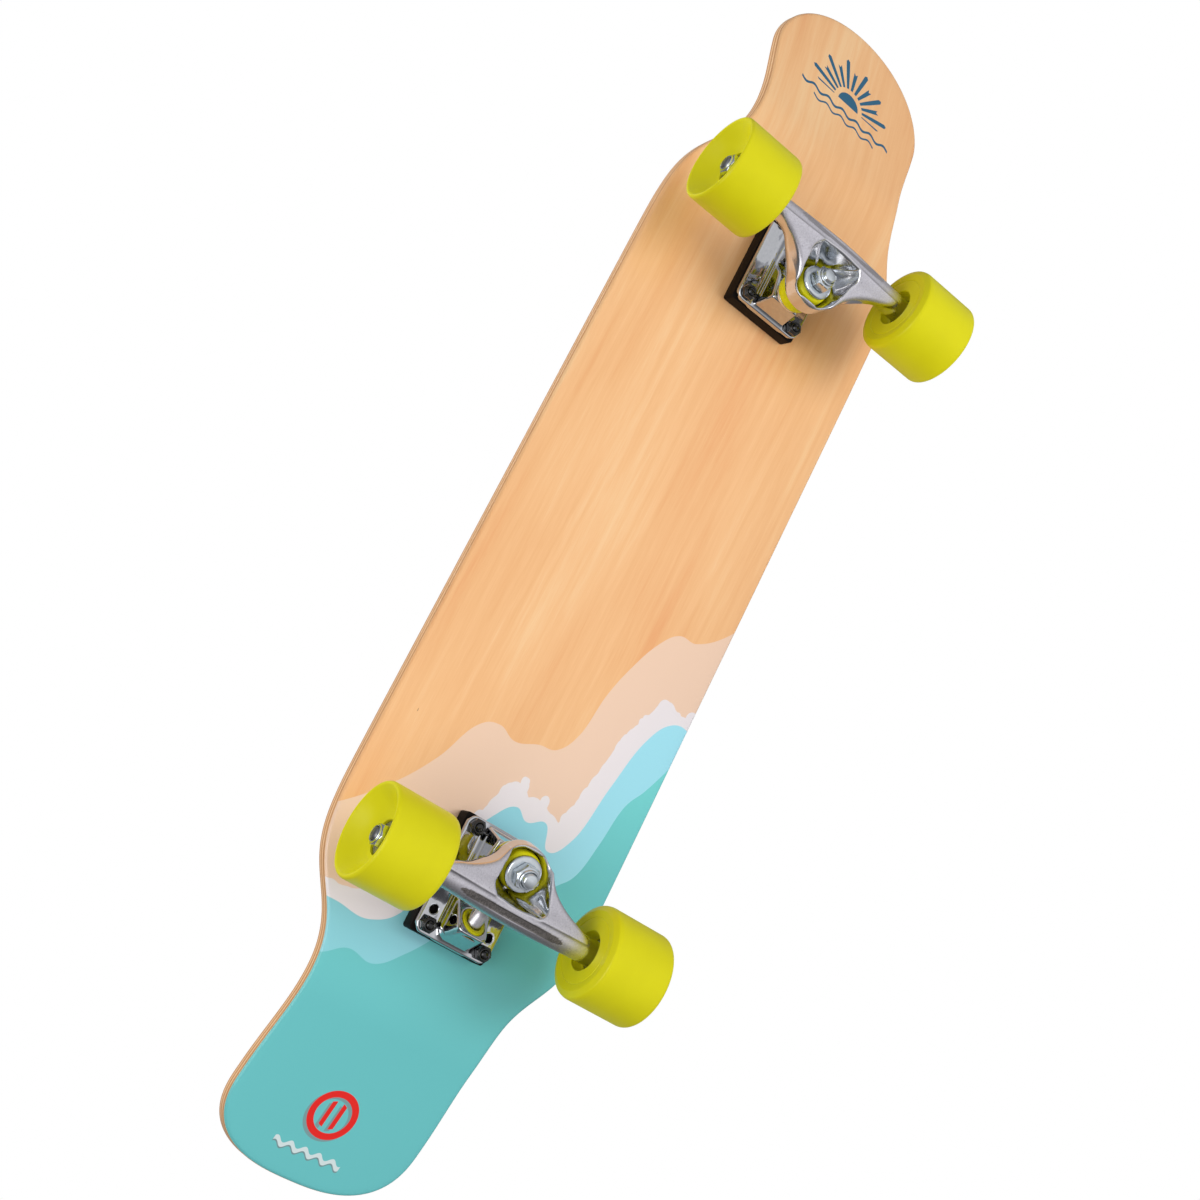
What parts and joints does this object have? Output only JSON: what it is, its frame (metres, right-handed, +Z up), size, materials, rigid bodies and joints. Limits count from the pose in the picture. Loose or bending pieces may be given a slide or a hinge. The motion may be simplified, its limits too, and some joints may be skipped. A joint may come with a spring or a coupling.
{
  "type": "cruiser skateboard",
  "caption": "Cut-out cruiser skateboard: a pressed maple deck kicked up at nose and tail, leaning kingpin trucks on rubber risers, and wide soft wheels on ball bearings.",
  "frame": {"origin": "on the ground the wheels stand on, below the middle of the deck's length and width", "axes": "+X towards the nose, +Y towards the left side, +Z up; grip tape on top, trucks below"},
  "size_m": [0.862, 0.205, 0.1405],
  "materials": {
    "maple_print": "lacquered veneer, printed at the tail and nose",
    "grip": "abrasive grit",
    "riser_rubber": "satin",
    "polished_chrome": "mirror polished",
    "cast_aluminium": "tumbled casting",
    "lime_urethane": "satin cast urethane",
    "zinc_steel": "bright zinc plated",
    "axle_steel": "ground steel",
    "bearing_steel": "ground and polished steel",
    "black_steel": "glossy black oxide"
  },
  "bodies": {
    "root": {"deck": "maple_print", "grip_tape": "grip", "rear_bolt_inner_left": "black_steel", "rear_bolt_inner_right": "black_steel", "rear_bolt_outer_left": "black_steel", "rear_bolt_outer_right": "black_steel", "rear_bolt_nut_inner_left": "black_steel", "rear_bolt_nut_inner_right": "black_steel", "rear_bolt_nut_outer_left": "black_steel", "rear_bolt_nut_outer_right": "black_steel", "rear_riser_pad": "riser_rubber", "rear_baseplate": "polished_chrome", "rear_pivot_cup": "lime_urethane", "rear_kingpin": "zinc_steel", "rear_kingpin_nut": "zinc_steel", "rear_road_washer": "zinc_steel", "rear_board_washer": "zinc_steel", "rear_road_bushing": "lime_urethane", "rear_board_bushing": "lime_urethane", "front_bolt_inner_left": "black_steel", "front_bolt_inner_right": "black_steel", "front_bolt_outer_left": "black_steel", "front_bolt_outer_right": "black_steel", "front_bolt_nut_inner_left": "black_steel", "front_bolt_nut_inner_right": "black_steel", "front_bolt_nut_outer_left": "black_steel", "front_bolt_nut_outer_right": "black_steel", "front_riser_pad": "riser_rubber", "front_baseplate": "polished_chrome", "front_pivot_cup": "lime_urethane", "front_kingpin": "zinc_steel", "front_kingpin_nut": "zinc_steel", "front_road_washer": "zinc_steel", "front_board_washer": "zinc_steel", "front_road_bushing": "lime_urethane", "front_board_bushing": "lime_urethane"},
    "rear_hanger": {"rear_hanger": "cast_aluminium", "rear_axle": "axle_steel", "rear_left_axle_nut": "zinc_steel", "rear_left_bearing_spacer": "axle_steel", "rear_right_axle_nut": "zinc_steel", "rear_right_bearing_spacer": "axle_steel"},
    "front_hanger": {"front_hanger": "cast_aluminium", "front_axle": "axle_steel", "front_left_axle_nut": "zinc_steel", "front_left_bearing_spacer": "axle_steel", "front_right_axle_nut": "zinc_steel", "front_right_bearing_spacer": "axle_steel"},
    "rear_left_wheel": {"rear_left_wheel": "lime_urethane", "rear_left_bearing_inner": "bearing_steel", "rear_left_bearing_outer": "bearing_steel"},
    "rear_right_wheel": {"rear_right_wheel": "lime_urethane", "rear_right_bearing_inner": "bearing_steel", "rear_right_bearing_outer": "bearing_steel"},
    "front_left_wheel": {"front_left_wheel": "lime_urethane", "front_left_bearing_inner": "bearing_steel", "front_left_bearing_outer": "bearing_steel"},
    "front_right_wheel": {"front_right_wheel": "lime_urethane", "front_right_bearing_inner": "bearing_steel", "front_right_bearing_outer": "bearing_steel"}
  },
  "joints": [
    {"name": "rear_steer", "type": "hinge", "parent": "root", "child": "rear_hanger", "pos_m": [-0.21283, 0, 0.04455], "axis": [0.9135, 0, -0.4067], "range_deg": [-15, 15], "stiffness_Nm_per_rad": 60, "deforming": ["rear_road_bushing", "rear_board_bushing"]},
    {"name": "rear_left_spin", "type": "hinge", "parent": "rear_hanger", "child": "rear_left_wheel", "pos_m": [-0.2368, 0.08, 0.03], "axis": [0, 1, 0], "continuous": true},
    {"name": "rear_right_spin", "type": "hinge", "parent": "rear_hanger", "child": "rear_right_wheel", "pos_m": [-0.2368, -0.08, 0.03], "axis": [0, 1, 0], "continuous": true},
    {"name": "front_steer", "type": "hinge", "parent": "root", "child": "front_hanger", "pos_m": [0.19883, 0, 0.04455], "axis": [0.9135, 0, 0.4067], "range_deg": [-15, 15], "stiffness_Nm_per_rad": 60, "deforming": ["front_road_bushing", "front_board_bushing"]},
    {"name": "front_left_spin", "type": "hinge", "parent": "front_hanger", "child": "front_left_wheel", "pos_m": [0.2228, 0.08, 0.03], "axis": [0, 1, 0], "continuous": true},
    {"name": "front_right_spin", "type": "hinge", "parent": "front_hanger", "child": "front_right_wheel", "pos_m": [0.2228, -0.08, 0.03], "axis": [0, 1, 0], "continuous": true}
  ]
}
